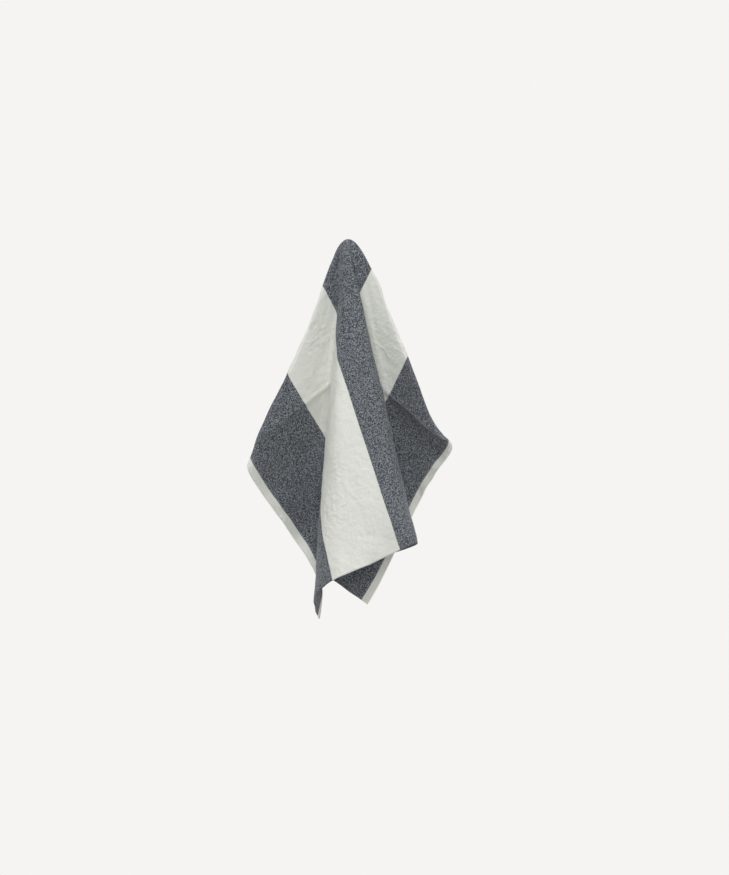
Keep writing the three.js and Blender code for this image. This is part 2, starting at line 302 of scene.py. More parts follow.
@dataclass
class HangingShape:
    """Where each place of the flat cloth hangs, worked out from the fold table.

    A place is given by its turn and its length from the hanging point. It hangs at that
    length in a direction that the fold table gives, so the folds stay straight rays, and
    near the hanging point the direction swings up to the flat cloth's own. Lengths are in
    millimetres.

    Args:
        side: side of the flat cloth.
        front_reach: from the hanging point to the front hem.
        off_centre: how far the hanging point lies right of the cloth's middle.
        crown_length: length over which the flat top turns down into the folds.
        crown_power: how suddenly it does.
        upper_level: length at which the table's upper places hold.
        lower_level: length at which its lower places hold.
        crease: how far either way the table is averaged, degrees, to round the creases.
        crease_ahead: from the hanging point to the pressed crease.
        bend_rounding: length over which the cloth turns at the pressed crease.
    """

    side: float = 450.0
    front_reach: float = 337.5
    off_centre: float = 7.1
    crown_length: float = 19.2
    crown_power: float = 0.89
    upper_level: float = 60.0
    lower_level: float = 330.0
    crease: float = 2.0
    crease_ahead: float = 119.5
    bend_rounding: float = 2.2

    def knots(self) -> tuple[np.ndarray, np.ndarray]:
        """Turns and places of the table's knots, repeated one turn either way.

        Returns:
            The turns, and one row for each with upper side, upper front, lower side, lower front.
        """
        turns, places = [], []
        for fold in FOLDS:
            ends = (-1, 1) if fold.half > 0 else (0,)
            for end in ends:
                shift = np.array(fold.gap + fold.gap) * end / 2
                turns.append(fold.turn + end * fold.half)
                places.append(np.array(fold.upper + fold.lower) + shift)
        once = np.array(turns)
        rows = np.array(places)
        return (
            np.concatenate([once - FULL_TURN, once, once + FULL_TURN]),
            np.concatenate([rows, rows, rows]),
        )

    def rounded(self, turn: np.ndarray) -> np.ndarray:
        """The table read at any turn, with each crease rounded.

        The value is the mean of the straight-line table over `crease` degrees each way:
        the difference of its running integral at both ends, over the width between them.

        Args:
            turn: turns in degrees.

        Returns:
            Upper side, upper front, lower side and lower front for each turn.
        """
        knots, rows = self.knots()
        widths = np.diff(knots)[:, None]
        sums = np.cumsum((rows[1:] + rows[:-1]) / 2 * widths, axis=0)
        sums = np.concatenate([np.zeros_like(rows[:1]), sums])
        slopes = np.diff(rows, axis=0) / widths

        def integral(at: np.ndarray) -> np.ndarray:
            """Running integral of the straight-line table.

            Args:
                at: turns in degrees.

            Returns:
                The sum up to the knot before, and the area of the piece beyond it.
            """
            knot = np.clip(np.searchsorted(knots, at) - 1, 0, len(knots) - 2)
            along = (at - knots[knot])[..., None]
            return sums[knot] + rows[knot] * along + slopes[knot] * along**2 / 2

        return (integral(turn + self.crease) - integral(turn - self.crease)) / (2 * self.crease)

    def to_crease(self, turn: np.ndarray) -> np.ndarray:
        """Length along each ray to the pressed crease, at most five times its distance ahead."""
        return self.crease_ahead / np.maximum(np.cos(np.radians(turn)), LEAST_COSINE)

    def bent_back(self, turn: np.ndarray, length: np.ndarray) -> np.ndarray:
        """Degrees by which the pressed crease has bent the cloth back.

        Below the crease a panel steps back along a ledge: by its lean times
        ledge * (1 - exp(-past / ledge)), over the length from the hanging point. The length
        past the crease starts softly, as rounding * log(1 + exp(past / rounding)).

        Args:
            turn: turns in degrees.
            length: lengths from the hanging point.

        Returns:
            The bend at each place, degrees.
        """
        past = (length - self.to_crease(turn)) / self.bend_rounding
        past = np.logaddexp(0, past) * self.bend_rounding
        total = np.zeros_like(length)
        for panel in PRESSED_BENDS:
            ledge = panel.ledge * (1 - np.exp(-past / panel.ledge))
            total += panel.lean * panel.share(turn) * ledge / length
        return total

    def direction(self, turn: np.ndarray, length: np.ndarray) -> tuple[np.ndarray, np.ndarray]:
        """Side and front angles at which each place hangs, degrees from straight down.

        The table's upper and lower places are mixed by a smooth step in length. The top
        mixes in the flat cloth's own direction by exp(-(length / crown length) ** power).
        The uneven places and the pressed bends are then added.

        Args:
            turn: turns in degrees.
            length: lengths from the hanging point.

        Returns:
            The side angles and the front angles.
        """
        table = self.rounded(turn)
        fall = np.clip((length - self.upper_level) / (self.lower_level - self.upper_level), 0, 1)
        fall = (fall**2 * (3 - 2 * fall))[..., None]
        folded = table[..., :2] * (1 - fall) + table[..., 2:] * fall
        crown = np.exp(-((length / self.crown_length) ** self.crown_power))[..., None]
        flat = FULL_TURN / 4 * np.stack([np.sin(np.radians(turn)), np.cos(np.radians(turn))], axis=-1)
        angles = folded * (1 - crown) + flat * crown
        for spot in UNEVEN:
            angles = angles + spot.share(turn, length)[..., None] * np.array(spot.shift)
        return angles[..., 0], angles[..., 1] - self.bent_back(turn, length)

    def points(self, turn: np.ndarray, length: np.ndarray) -> np.ndarray:
        """Places in space, with the hanging point at the origin.

        The lean from straight down is the length of the two angles together, and the
        bearing is the direction between them.

        Args:
            turn: turns in degrees.
            length: lengths from the hanging point.

        Returns:
            The places, with x to the right, y to the back and z up.
        """
        side, front = self.direction(turn, length)
        lean = np.radians(np.hypot(side, front))
        bearing = np.arctan2(side, front)
        right = length * np.sin(lean) * np.sin(bearing)
        back = -length * np.sin(lean) * np.cos(bearing)
        up = -length * np.cos(lean)
        return np.stack([right, back, up], axis=-1)

    def reach(self, turn: np.ndarray) -> np.ndarray:
        """Length of cloth from the hanging point to the edge: the nearer of hem and side.

        Args:
            turn: turns in degrees.

        Returns:
            The length for each turn.
        """
        forward = np.cos(np.radians(turn))
        sideways = np.sin(np.radians(turn))
        to_hem = np.where(forward > 0, self.front_reach, self.side - self.front_reach)
        to_side = self.side / 2 + np.where(sideways > 0, -self.off_centre, self.off_centre)
        along_hem = to_hem / np.maximum(abs(forward), LEAST_SLOPE)
        along_side = to_side / np.maximum(abs(sideways), LEAST_SLOPE)
        return np.minimum(along_hem, along_side)

    def edge_distance(self, across: np.ndarray, along: np.ndarray) -> np.ndarray:
        """Distance of each place of the flat cloth from its nearest edge.

        Args:
            across: places to the right of the hanging point.
            along: places to its front.

        Returns:
            The distance at each place.
        """
        from_side = self.side / 2 - abs(across + self.off_centre)
        from_front = self.front_reach - along
        from_back = along + self.side - self.front_reach
        return np.minimum(from_side, np.minimum(from_front, from_back))

    def back_left_corner(self) -> np.ndarray:
        """How far left and back of the hanging point the flat cloth's corner lies."""
        return np.array([self.side / 2 + self.off_centre, self.side - self.front_reach])

    def crease_from_back(self) -> float:
        """Distance of the pressed crease from the back hem in the flat cloth."""
        return self.crease_ahead + self.side - self.front_reach

    def corner_turns(self) -> np.ndarray:
        """Turns of the four corners of the flat cloth.

        Returns:
            Their turns, degrees.
        """
        left = -self.side / 2 - self.off_centre
        right = self.side / 2 - self.off_centre
        back = self.front_reach - self.side
        ends = ((left, back), (left, self.front_reach), (right, self.front_reach), (right, back))
        return np.degrees([math.atan2(across, along) for across, along in ends])


@dataclass(frozen=True)
class Crumples:
    """Sizes of the small rise and fall of the cloth, in millimetres unless they say otherwise.

    Args:
        seed: seed of every draw.
        wave_stretch: least and greatest length of a wave, of its band's.
        ripple_count: number of ripples in the hems.
        ripple_length: their least and greatest length.
        ripple_height: their height.
        ripple_reach: distance from the edge over which they fade.
        crease_count: number of short creases.
        crease_across: where they start, to the right of the hanging point.
        crease_along: where they start, to its front.
        crease_run: their least and greatest length.
        crease_width: their least and greatest half width.
        crease_height: spread of their heights about none.
        top_reach: length from the hanging point over which all of it fades in.
        calm_turn: middle of the calm place in the right corner's tight bend, degrees.
        calm_length: the same, from the hanging point.
        calm_spread: half widths of the calm place, degrees across and millimetres along.
        calm_share: how much of the rise and fall is taken away there.
    """

    seed: int = 7
    wave_stretch: Pair = (0.75, 1.3)
    ripple_count: int = 6
    ripple_length: Pair = (22.0, 40.0)
    ripple_height: float = 0.4
    ripple_reach: float = 14.0
    crease_count: int = 240
    crease_across: Pair = (-230.0, 218.0)
    crease_along: Pair = (-110.0, 335.0)
    crease_run: Pair = (4.0, 14.0)
    crease_width: Pair = (2.2, 5.0)
    crease_height: float = 0.42
    top_reach: float = 60.0
    calm_turn: float = 64.0
    calm_length: float = 250.0
    calm_spread: Pair = (9.0, 55.0)
    calm_share: float = 0.8

    def waves(
        self, rng: np.random.Generator, across: np.ndarray, along: np.ndarray
    ) -> np.ndarray:
        """Soft waves over the whole cloth, each with a seeded direction, phase and length.

        Args:
            rng: the source of the draws.
            across: places to the right of the hanging point.
            along: places to its front.

        Returns:
            The sum over the bands of height * sin(wave) / root of the count.
        """
        total = np.zeros_like(across)
        for band in WAVE_BANDS:
            for _ in range(band.count):
                angle, phase = rng.uniform(0, FULL_CIRCLE, 2)
                length = band.length * rng.uniform(*self.wave_stretch)
                way = across * math.cos(angle) + along * math.sin(angle)
                total += band.height * np.sin(way * FULL_CIRCLE / length + phase) / math.sqrt(band.count)
        return total

    def ripples(
        self, rng: np.random.Generator, across: np.ndarray, along: np.ndarray, edge: np.ndarray
    ) -> np.ndarray:
        """Shorter waves in the hems, which fade away by exp(-distance from the edge / reach).

        Args:
            rng: the source of the draws.
            across: places to the right of the hanging point.
            along: places to its front.
            edge: distance of each place from the nearest edge.

        Returns:
            The rise at each place.
        """
        near_edge = np.exp(-edge / self.ripple_reach)
        total = np.zeros_like(across)
        for _ in range(self.ripple_count):
            angle, phase = rng.uniform(0, FULL_CIRCLE, 2)
            way = across * math.cos(angle) + along * math.sin(angle)
            wave = way * FULL_CIRCLE / rng.uniform(*self.ripple_length)
            total += self.ripple_height * near_edge * np.sin(wave + phase)
        return total

    def short_creases(
        self, rng: np.random.Generator, across: np.ndarray, along: np.ndarray
    ) -> np.ndarray:
        """Short soft ridges and troughs that lie anywhere, in any direction.

        Args:
            rng: the source of the draws.
            across: places to the right of the hanging point.
            along: places to its front.

        Returns:
            The sum of their rises at each place.
        """
        total = np.zeros_like(across)
        for _ in range(self.crease_count):
            place = (rng.uniform(*self.crease_across), rng.uniform(*self.crease_along))
            angle = rng.uniform(0, FULL_CIRCLE)
            run = rng.uniform(*self.crease_run)
            end = (place[0] + run * math.cos(angle), place[1] + run * math.sin(angle))
            width = rng.uniform(*self.crease_width)
            height = rng.normal(0, self.crease_height)
            total += SoftCrease("short_crease", place, end, width, height).relief(across, along)
        return total

    def calm(self, across: np.ndarray, along: np.ndarray) -> np.ndarray:
        """How much of the small rise and fall stays, so that it doesn't push the layers together.

        Near the top it is 1 - exp(-(length / reach) ** 2). In the tight bend of the right
        corner it is 1 - share * exp(-(turn off / spread) ** 2 - (length off / spread) ** 2).

        Args:
            across: places to the right of the hanging point.
            along: places to its front.

        Returns:
            The share at each place.
        """
        length = np.hypot(across, along)
        turn = np.degrees(np.arctan2(across, along))
        turn_off = (turn - self.calm_turn) / self.calm_spread[0]
        length_off = (length - self.calm_length) / self.calm_spread[1]
        at_top = 1 - np.exp(-((length / self.top_reach) ** 2))
        return at_top * (1 - self.calm_share * np.exp(-(turn_off**2) - length_off**2))

    def relief(self, across: np.ndarray, along: np.ndarray, edge: np.ndarray) -> np.ndarray:
        """Small rise and fall of the cloth: seeded waves, ripples and creases, and its main creases.

        Args:
            across: places to the right of the hanging point.
            along: places to its front.
            edge: distance of each place from the nearest edge.

        Returns:
            The rise at each place.
        """
        rng = np.random.default_rng(self.seed)
        total = self.waves(rng, across, along)
        total += self.ripples(rng, across, along, edge)
        total += self.short_creases(rng, across, along)
        main = sum(crease.relief(across, along) for crease in CREASES)
        return total * self.calm(across, along) + main


@dataclass(frozen=True)
class WovenFinish:
    """Look of the cloth: yarn colours, stripes and wear. Lengths are in metres.

    Args:
        name: the material's name.
        dark: colour of the dark yarn.
        fleck_and_highlight: colour of its light flecks, and of the painted highlight along the pressed
            crease.
        cream: colour of the cream yarn.
        stripe: width of each stripe.
        yarn: width of each yarn.
        crossing_fleck: how much a crossing yarn lightens the dark stripes.
        yarn_fleck: how much the flecks of the yarn lighten them.
        cream_shade: brightness of the thinnest and of the thickest cream yarn.
        crest_highlight_reach: how far from the pressed crease the painted highlight on its crest
            reaches.
        crest_highlight_start: where the painted highlight starts and is full, right of the cloth's
            middle.
        crest_highlight_share: how strongly the painted highlight shows.
        stitch_share: how strongly the stitches show.
        roughness: roughness of the yarn.
        specular: strength of its highlights.
        sheen: weight of the sheen of its loose fibres.
        sheen_roughness: roughness of that sheen.
    """
    # Look of the cloth: yarn colours, stripes and a painted highlight along the pressed crease. Lengths
    # are in metres.

    name: str = "striped_cloth"
    dark: Colour = (0.0190, 0.0226, 0.0295)
    fleck_and_highlight: Colour = (0.354, 0.386, 0.416)
    cream: Colour = (0.655, 0.668, 0.622)
    stripe: float = 0.0868
    yarn: float = 0.0010
    crossing_fleck: float = 0.08
    yarn_fleck: float = 0.68
    cream_shade: Pair = (0.972, 1.018)
    # These three place a painted highlight: a light line along the crest of the pressed crease.
    crest_highlight_reach: float = 0.0018
    crest_highlight_start: Pair = (0.095, 0.115)
    crest_highlight_share: float = 0.34
    stitch_share: float = 0.10
    roughness: float = 0.92
    specular: float = 0.25
    sheen: float = 0.15
    sheen_roughness: float = 0.5


@dataclass(frozen=True)
class FineRelief:
    """How high each fine form stands in the bump, in times its distance.

    Args:
        slub: thick places of the yarn.
        weave: yarns of the plain weave.
        stitch: stitches of the hem.
        fold_line: line along which the hem is stitched down, which dips.
        crumple: small crumples.
        strength: strength of the bump.
        distance: its distance, metres.
    """

    slub: float = 0.16
    weave: float = 0.5
    stitch: float = 0.2
    fold_line: float = -0.4
    crumple: float = 3.9
    strength: float = 0.55
    distance: float = 0.0004


@dataclass
class Napkin:
    """The hanging cloth: one closed sheet with thicker hems, its flat plan in its UV map.

    Lengths are in millimetres.

    Args:
        shape: where each place of the cloth hangs.
        crumples: its small rise and fall.
        finish: its colours and wear.
        fine_relief: how high its fine forms stand.
        thickness: thickness of the cloth.
        hem_width: width of the hems.
        hem_extra: how much thicker they are.
        hem_outer_share: how much of that lies on the outer face.
        hem_edge: length over which the hem's edge rises.
        crease_step: greatest step between rays in a fold, degrees.
        panel_step: greatest step between rays elsewhere, degrees.
        inner_rings: number of rings inside the hem's share of each ray.
        hem_rings: number of rings in it.
        hem_share: where along each ray the hem's rings start.
        ring_spread: power by which the inner rings crowd to the top.
        ray_samples: places on each ray at which its ring density is summed.
        bend_crowding: how much closer the rings lie at the pressed crease.
        bend_span: length over which they do.
    """

    shape: HangingShape = field(default_factory=HangingShape)
    crumples: Crumples = field(default_factory=Crumples)
    # finish: its colours and the painted highlight along its pressed crease.
    finish: WovenFinish = field(default_factory=WovenFinish)
    fine_relief: FineRelief = field(default_factory=FineRelief)
    thickness: float = 0.8
    hem_width: float = 11.0
    hem_extra: float = 0.6
    hem_outer_share: float = 0.35
    hem_edge: float = 0.35
    crease_step: float = 0.55
    panel_step: float = 1.15
    inner_rings: int = 70
    hem_rings: int = 25
    hem_share: float = 0.9
    ring_spread: float = 1.2
    ray_samples: int = 900
    bend_crowding: float = 5.0
    bend_span: float = 9.0

    def turns(self) -> np.ndarray:
        """Turns of the rays: close together in the folds, wider on the panels between them.

        Returns:
            The turns in order, degrees, with a ray at each corner and at each fold's edges.
        """
        marks = {round(float(turn), 6) for turn in self.shape.corner_turns()}
        for fold in FOLDS:
            width = fold.half + self.shape.crease
            marks.update(round(wrapped(edge), 6) for edge in (fold.turn - width, fold.turn + width))
        starts = sorted(marks)
        ends = starts[1:] + [starts[0] + FULL_TURN]
        turns = []
        for start, end in zip(starts, ends):
            middle = (start + end) / 2
            inside = [abs(wrapped(middle - fold.turn)) < fold.half + self.shape.crease for fold in FOLDS]
            step = self.crease_step if any(inside) else self.panel_step
            count = max(1, math.ceil((end - start) / step))
            turns.extend(np.linspace(start, end, count, endpoint=False))
        return np.array(turns)

    def shares(self) -> np.ndarray:
        """How far along its ray each ring lies, closer together in the hems.

        Returns:
            The share of the ray's length for each ring.
        """
        inner = (np.arange(1, self.inner_rings + 1) / self.inner_rings) ** self.ring_spread
        outer = np.linspace(self.hem_share, 1, self.hem_rings + 1)[1:]
        return np.concatenate([inner * self.hem_share, outer])

    def lengths(self, turns: np.ndarray) -> np.ndarray:
        """Length along each ray of each ring, closer together at the pressed crease.

        The rings keep their shares of a running sum of density, which is 1 and rises to
        1 + crowding in a bell exp(-(length off / span) ** 2) about the crease.

        Args:
            turns: turns of the rays, degrees.

        Returns:
            One row of lengths for each ray.
        """
        samples = np.linspace(0, 1, self.ray_samples)
        reach = self.shape.reach(turns)[:, None]
        off_crease = (samples * reach - self.shape.to_crease(turns)[:, None]) / self.bend_span
        bent = sum(panel.share(turns) for panel in PRESSED_BENDS)[:, None]
        density = 1 + self.bend_crowding * bent * np.exp(-(off_crease**2))
        sums = np.cumsum((density[:, 1:] + density[:, :-1]) / 2, axis=1)
        sums = np.concatenate([np.zeros_like(reach), sums], axis=1)
        shares = self.shares()
        return np.array([np.interp(shares, row / row[-1], samples) for row in sums]) * reach

    def half_thickness(self, edge: np.ndarray, layer: Layer) -> np.ndarray:
        """Distance of one face from the middle surface, which grows in the hem.

        The hem's share is 1 / (1 + exp((distance from the edge - hem width) / hem edge)).

        Args:
            edge: distance of each place from the nearest edge.
            layer: which face.

        Returns:
            The distance at each place.
        """
        hem = 1 / (1 + np.exp((edge - self.hem_width) / self.hem_edge))
        share = self.hem_outer_share if layer is Layer.OUTER else 1 - self.hem_outer_share
        return self.thickness / 2 + hem * self.hem_extra * share

    def build(self) -> bpy.types.Object:
        """Makes the cloth's mesh, with its flat plan as its UV map.

        The middle surface is moved along its normals by the crumples. Each face lies half
        a thickness off it, and a rim half a thickness out closes the edge.

        Returns:
            The cloth as one object at the origin.
        """
        turns = self.turns()
        length = self.lengths(turns)
        rays, rings = length.shape
        turn = np.repeat(turns[:, None], rings, axis=1)
        across = length * np.sin(np.radians(turn))
        along = length * np.cos(np.radians(turn))
        edge = self.shape.edge_distance(across, along)
        middle = self.shape.points(turn, length)
        middle = middle + self.normals(middle) * self.crumples.relief(across, along, edge)[..., None]
        normals = self.normals(middle)

        drop = np.array([0, 0, -self.thickness / 2])
        outer, inner = (
            middle + layer.value * normals * self.half_thickness(edge, layer)[..., None] + drop
            for layer in (Layer.OUTER, Layer.INNER)
        )
        outward = middle[:, -1] - middle[:, -2]
        outward /= np.linalg.norm(outward, axis=-1, keepdims=True)
        rim = (outer[:, -1] + inner[:, -1]) / 2 + outward * self.thickness / 2
        tops = np.array([[0, 0, 0], [0, 0, -self.thickness]])
        vertices = np.concatenate([tops, outer.reshape(-1, 3), inner.reshape(-1, 3), rim])

        flat = np.stack([across, along], axis=-1)
        plan = np.concatenate([np.zeros((2, 2)), flat.reshape(-1, 2), flat.reshape(-1, 2), flat[:, -1]])
        plan = plan + self.shape.back_left_corner()
        return self.mesh_object(vertices * MM, self.faces(rays, rings), plan * MM)

    @staticmethod
    def normals(middle: np.ndarray) -> np.ndarray:
        """Unit normals of the middle surface: the step down each ray crossed with the step around.

        Args:
            middle: the middle surface, one row of places for each ray.

        Returns:
            The normals, outwards and up.
        """
        around = np.roll(middle, -1, axis=0) - np.roll(middle, 1, axis=0)
        with_top = np.concatenate([np.zeros_like(middle[:, :1]), middle], axis=1)
        inside = with_top[:, 2:] - with_top[:, :-2]
        at_edge = with_top[:, -1:] - with_top[:, -2:-1]
        normals = np.cross(np.concatenate([inside, at_edge], axis=1), around)
        return normals / np.linalg.norm(normals, axis=-1, keepdims=True)

    @staticmethod
    def faces(rays: int, rings: int) -> list[list[int]]:
        """Faces of the closed sheet: both grids, the rounded rim and both tops.

        The vertices are the two tops, the outer grid and the inner grid ray by ray, and
        the rim.

        Args:
            rays: number of rays.
            rings: number of rings.

        Returns:
            The corners of each face, anticlockwise from outside.
        """
        ray = np.arange(rays)
        after = (ray + 1) % rays
        outer = 2
        inner = outer + rays * rings
        rim = inner + rays * rings
        outer_end = outer + rings - 1
        inner_end = inner + rings - 1

        def grid(start: int) -> np.ndarray:
            """Faces between neighbouring rays and rings of one layer.

            Args:
                start: number of the layer's first vertex.

            Returns:
                Four corners for each face.
            """
            near = start + ray[:, None] * rings + np.arange(rings - 1)
            next_ray = start + after[:, None] * rings + np.arange(rings - 1)
            return np.stack([near, near + 1, next_ray + 1, next_ray], axis=-1).reshape(-1, 4)

        rim_outer = [outer_end + ray * rings, rim + ray, rim + after, outer_end + after * rings]
        rim_inner = [rim + ray, inner_end + ray * rings, inner_end + after * rings, rim + after]
        top = [np.zeros_like(ray), outer + ray * rings, outer + after * rings]
        under = [np.ones_like(ray), inner + after * rings, inner + ray * rings]
        rims = [np.stack(corners, axis=-1) for corners in (rim_outer, rim_inner)]
        tops = [np.stack(corners, axis=-1) for corners in (top, under)]
        squares = np.concatenate([grid(outer), grid(inner)[:, ::-1], *rims])
        return squares.tolist() + np.concatenate(tops).tolist()

    @staticmethod
    def mesh_object(vertices: np.ndarray, faces: list[list[int]], plan: np.ndarray) -> bpy.types.Object:
        """Puts the arrays in a smooth-shaded mesh and links its object to the scene.

        Args:
            vertices: places of the vertices, metres.
            faces: corners of the faces.
            plan: place of each vertex in the flat cloth, metres.

        Returns:
            The cloth's object.
        """
        mesh = bpy.data.meshes.new(CLOTH_PIECE)
        mesh.from_pydata(vertices.tolist(), [], faces)
        mesh.validate()
        layer = mesh.uv_layers.new(name=FLAT_PLAN)
        corners = np.empty(len(mesh.loops), dtype=np.int32)
        mesh.loops.foreach_get("vertex_index", corners)
        layer.data.foreach_set("uv", plan[corners].astype(np.float32).ravel())
        mesh.shade_smooth()
        mesh.update()
        return add_to_scene(CLOTH_PIECE, mesh)

    def dress(self, cloth: bpy.types.Object) -> None:
        """Gives the cloth its woven material and tells the frame what it is.

        Args:
            cloth: the object that build made.
        """
        side = self.shape.side * MM
        hem_width = self.hem_width * MM
        crease = self.shape.crease_from_back() * MM
        woven = ClothMaterial(self.finish, self.fine_relief, side, hem_width, crease)
        cloth.data.materials.append(woven.build())
        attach(cloth, ROOT_BODY)
        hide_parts(NAPKIN_NODE)


class NodeWriter:
    """Adds shader nodes to one tree and links them, with short calls for the common ones.

    Where a call takes an object, it is a socket to link or a value to set.
    """

    def __init__(self, tree: bpy.types.NodeTree) -> None:
        """Keeps the tree that the nodes go into."""
        self.tree = tree

    def node(self, kind: str, **settings: object) -> bpy.types.Node:
        """Adds a node and sets its properties.

        Args:
            kind: the node's type.
            settings: its properties by name.

        Returns:
            The node.
        """
        node = self.tree.nodes.new(kind)
        for name, value in settings.items():
            setattr(node, name, value)
        return node

    def feed(self, socket: Socket, value: object) -> None:
        """Links a socket to another one, or sets its value.

        Args:
            socket: the input to feed.
            value: a socket or a value.
        """
        if isinstance(value, Socket):
            self.tree.links.new(value, socket)
        else:
            socket.default_value = value

    def place(self, group: bpy.types.NodeTree, **values: object) -> Outputs:
        """Places a node group and feeds its inputs.

        Args:
            group: the group.
            values: what each input gets, by its name with _ for a space.

        Returns:
            The group's outputs.
        """
        node = self.node("ShaderNodeGroup", node_tree=group)
        for name, value in values.items():
            self.feed(node.inputs[name.replace("_", " ")], value)
        return node.outputs

    def math(self, operation: str, *values: object, clamp: bool = False) -> Socket:
        """Adds a math node.

        Args:
            operation: what it does.
            values: its inputs in order.
            clamp: whether the result is kept between 0 and 1.

        Returns:
            Its result.
        """
        node = self.node("ShaderNodeMath", operation=operation, use_clamp=clamp)
        for socket, value in zip(node.inputs, values):
            self.feed(socket, value)
        return node.outputs[0]

    def distance(self, first: object, second: object) -> Socket:
        """How far two values lie apart."""
        return self.math("ABSOLUTE", self.math("SUBTRACT", first, second))

    def ramp(self, value: object, low: float, high: float, to: Pair = (0, 1)) -> Socket:
        """Maps a value to a range, with soft ends.

        Args:
            value: the value.
            low: where the range starts.
            high: where it ends.
            to: the results there.

        Returns:
            The result.
        """
        node = self.node("ShaderNodeMapRange", interpolation_type="SMOOTHSTEP")
        given = {"Value": value, "From Min": low, "From Max": high, "To Min": to[0], "To Max": to[1]}
        for name, one in given.items():
            self.feed(node.inputs[name], one)
        return node.outputs["Result"]

    def blend(self, factor: object, first: object, second: object, mode: str = "MIX") -> Socket:
        """Mixes two colours.

        Args:
            factor: how much of the second shows.
            first: the first colour.
            second: the second colour.
            mode: how they are mixed.

        Returns:
            The mixed colour.
        """
        node = self.node("ShaderNodeMix", data_type="RGBA", blend_type=mode)
        for name, value in (("Factor", factor), ("A", first), ("B", second)):
            self.feed(node.inputs[name], value)
        return node.outputs["Result"]

    def vector(self, x: object, y: object, z: object = 0.0) -> Socket:
        """Combines three values.

        Args:
            x: the first.
            y: the second.
            z: the third.

        Returns:
            The vector.
        """
        node = self.node("ShaderNodeCombineXYZ")
        for socket, value in zip(node.inputs, (x, y, z)):
            self.feed(socket, value)
        return node.outputs[0]

    def noise(
        self,
        plan: Outputs,
        scales: Pair,
        layer: float = 0.0,
        detail: float = 2.0,
        roughness: float = 0.5,
    ) -> Socket:
        """Adds a noise over the flat plan.

        Args:
            plan: the outputs that hold the Across and Along of the plan, metres.
            scales: its fineness across and along, per metre.
            layer: which layer of the noise is read, so that two of them differ.
            detail: how much finer noise is added.
            roughness: how strong the finer noise is.

        Returns:
            The noise, about 0.5.
        """
        across = self.math("MULTIPLY", plan["Across"], scales[0])
        along = self.math("MULTIPLY", plan["Along"], scales[1])
        place = self.vector(across, along, layer)
        node = self.node("ShaderNodeTexNoise")
        given = {"Vector": place, "Scale": 1.0, "Detail": detail, "Roughness": roughness}
        for name, value in given.items():
            self.feed(node.inputs[name], value)
        return node.outputs["Fac"]


class EffectGroup:
    """A shader node group with named value sockets, and the writer for its nodes."""

    def __init__(self, name: str, inputs: dict[str, float], outputs: tuple[str, ...]) -> None:
        """Makes the group.

        Args:
            name: the group's name.
            inputs: default of each input value by name.
            outputs: names of the output values.
        """
        self.tree = bpy.data.node_groups.new(name, "ShaderNodeTree")
        for socket, default in inputs.items():
            item = self.tree.interface.new_socket(socket, in_out="INPUT", socket_type="NodeSocketFloat")
            item.default_value = default
        for socket in outputs:
            self.tree.interface.new_socket(socket, in_out="OUTPUT", socket_type="NodeSocketFloat")
        self.nodes = NodeWriter(self.tree)
        self.given = self.nodes.node("NodeGroupInput").outputs
        self.results = self.nodes.node("NodeGroupOutput").inputs

    def give(self, name: str, value: Socket) -> None:
        """Sends a value to one of the group's outputs."""
        self.nodes.feed(self.results[name], value)


def stripe_group() -> bpy.types.NodeTree:
    """Group that says where the dark stripes lie: 1 in a dark stripe and 0 in a cream one.

    The stripes are all one width and lie evenly about the cloth's middle, the middle one
    dark, so their borders are 0.5, 1.5 and 2.5 widths from it.

    Returns:
        The group.
    """
    inputs = {"Across": 0.0, "Middle": 0.225, "Stripe Width": 0.0868, "Edge Softness": 0.0004}
    group = EffectGroup("woven_stripes", inputs, ("Dark",))
    nodes, given = group.nodes, group.given
    away = nodes.distance(given["Across"], given["Middle"])

    def beyond(widths: float) -> Socket:
        """Whether a place lies further than some stripe widths from the middle.

        Args:
            widths: the number of stripe widths.

        Returns:
            0 before the edge and 1 beyond it, with a soft step.
        """
        edge = nodes.math("MULTIPLY", given["Stripe Width"], widths)
        scaled = nodes.math("DIVIDE", nodes.math("SUBTRACT", away, edge), given["Edge Softness"])
        return nodes.math("MULTIPLY_ADD", scaled, 0.5, 0.5, clamp=True)

    middle = nodes.math("SUBTRACT", 1.0, beyond(0.5))
    outer = nodes.math("SUBTRACT", beyond(1.5), beyond(2.5))
    group.give("Dark", nodes.math("ADD", middle, outer, clamp=True))
    return group.tree


